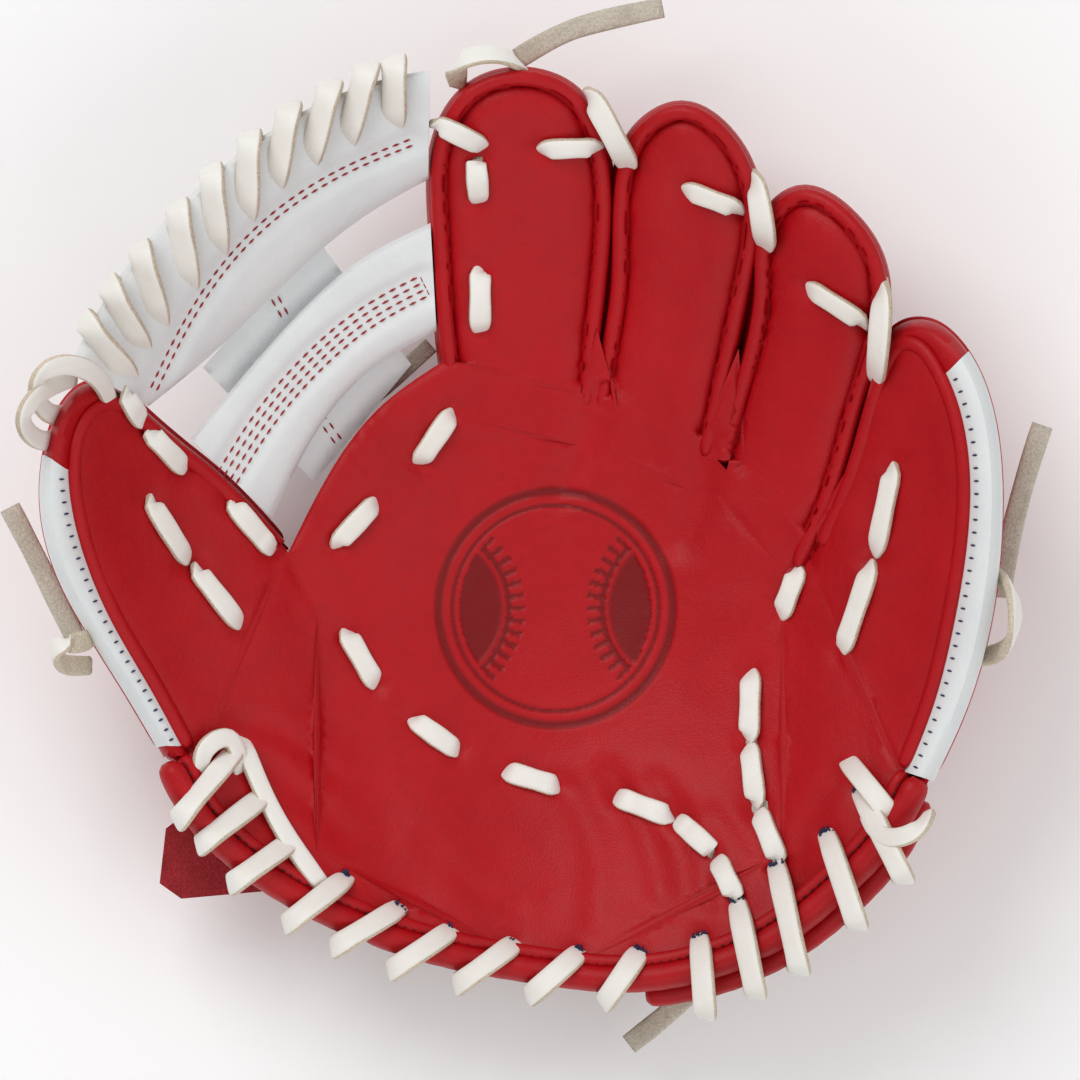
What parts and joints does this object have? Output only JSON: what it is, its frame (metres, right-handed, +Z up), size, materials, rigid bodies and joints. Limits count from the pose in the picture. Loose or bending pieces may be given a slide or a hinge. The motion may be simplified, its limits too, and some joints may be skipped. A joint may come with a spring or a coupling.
{
  "type": "baseball fielding glove",
  "caption": "Child-size baseball fielding glove for the left hand, open, with a two-bar web, laced heel, padded palm and folding thumb and little-finger sides.",
  "frame": {"origin": "floor level under the middle of the glove's bounding box, without the free lace ends", "axes": "+Z up out of the pocket, +Y from the heel to the fingertips, thumb on the -X side; the glove lies on its back"},
  "size_m": [0.2683, 0.2706, 0.1022],
  "materials": {
    "red_leather": "smooth grained red cowhide",
    "white_leather": "smooth white leather",
    "lace_leather": "white rawhide lace with pale suede edges",
    "liner_leather": "soft unpainted lining leather",
    "felt": "pressed wool felt",
    "stay_plastic": "flexible stiffener",
    "fastener_fabric": "loop side of a hook-and-loop fastener",
    "fastener_plastic": "hook side of a hook-and-loop fastener"
  },
  "bodies": {
    "hand": {"palm_panel": "red_leather", "index_back": "red_leather", "middle_back": "red_leather", "ring_back": "red_leather", "index_welt": "red_leather", "middle_welt": "red_leather", "ring_welt": "red_leather", "palm_pad": "felt", "palm_liner": "liner_leather", "heel_roll": "red_leather", "wrist_roll": "red_leather", "palm_lace": "lace_leather", "pinky_heel_lace": "lace_leather", "index_lace": "lace_leather", "index_tip_lace": "lace_leather", "middle_tip_lace": "lace_leather", "pinky_tip_lace": "lace_leather", "heel_lace": "lace_leather", "web_top_bar": "white_leather", "web_low_bar": "white_leather", "web_post": "white_leather", "web_lace": "lace_leather", "web_base_lace": "lace_leather", "knuckle_panel": "red_leather", "wrist_strap": "red_leather", "loop_patch": "fastener_fabric", "top_tail": "lace_leather", "heel_tail": "lace_leather"},
    "thumb": {"thumb_front": "red_leather", "thumb_side_panel": "white_leather", "thumb_back": "red_leather", "thumb_welt": "red_leather", "thumb_heel_pad": "felt", "thumb_stay": "stay_plastic", "thumb_loop": "liner_leather", "heel_roll_thumb": "red_leather", "heel_lace_thumb": "lace_leather", "thumb_lace": "lace_leather", "thumb_tail": "lace_leather"},
    "pinky": {"pinky_front": "red_leather", "pinky_side_panel": "white_leather", "pinky_back": "red_leather", "pinky_welt": "red_leather", "pinky_heel_pad": "felt", "pinky_stay": "stay_plastic", "pinky_loop": "liner_leather", "heel_roll_pinky": "red_leather", "wrist_roll_pinky": "red_leather", "heel_lace_pinky": "lace_leather", "pinky_lace": "lace_leather", "pinky_tail": "lace_leather"},
    "strap": {"strap_tab": "red_leather", "hook_patch": "fastener_plastic"}
  },
  "joints": [
    {"name": "thumb_fold", "type": "hinge", "parent": "hand", "child": "thumb", "pos_m": [-0.0524, -0.0983, 0.05729], "axis": [-0.078, 0.9934, -0.0844], "range_deg": [0, 40], "stiffness_Nm_per_rad": 1.5, "deforming": ["web_top_bar", "web_low_bar", "web_post", "web_lace", "web_base_lace"]},
    {"name": "pinky_fold", "type": "hinge", "parent": "hand", "child": "pinky", "pos_m": [0.0731, -0.0048, 0.06403], "axis": [0.0107, -0.9996, 0.0253], "range_deg": [0, 40], "stiffness_Nm_per_rad": 1.5, "deforming": ["pinky_tip_lace", "pinky_heel_lace"]},
    {"name": "strap_open", "type": "hinge", "parent": "hand", "child": "strap", "pos_m": [-0.0254, -0.0708, 0.00275], "axis": [0, -1, 0], "range_deg": [0, 105], "stiffness_Nm_per_rad": 0.02}
  ]
}
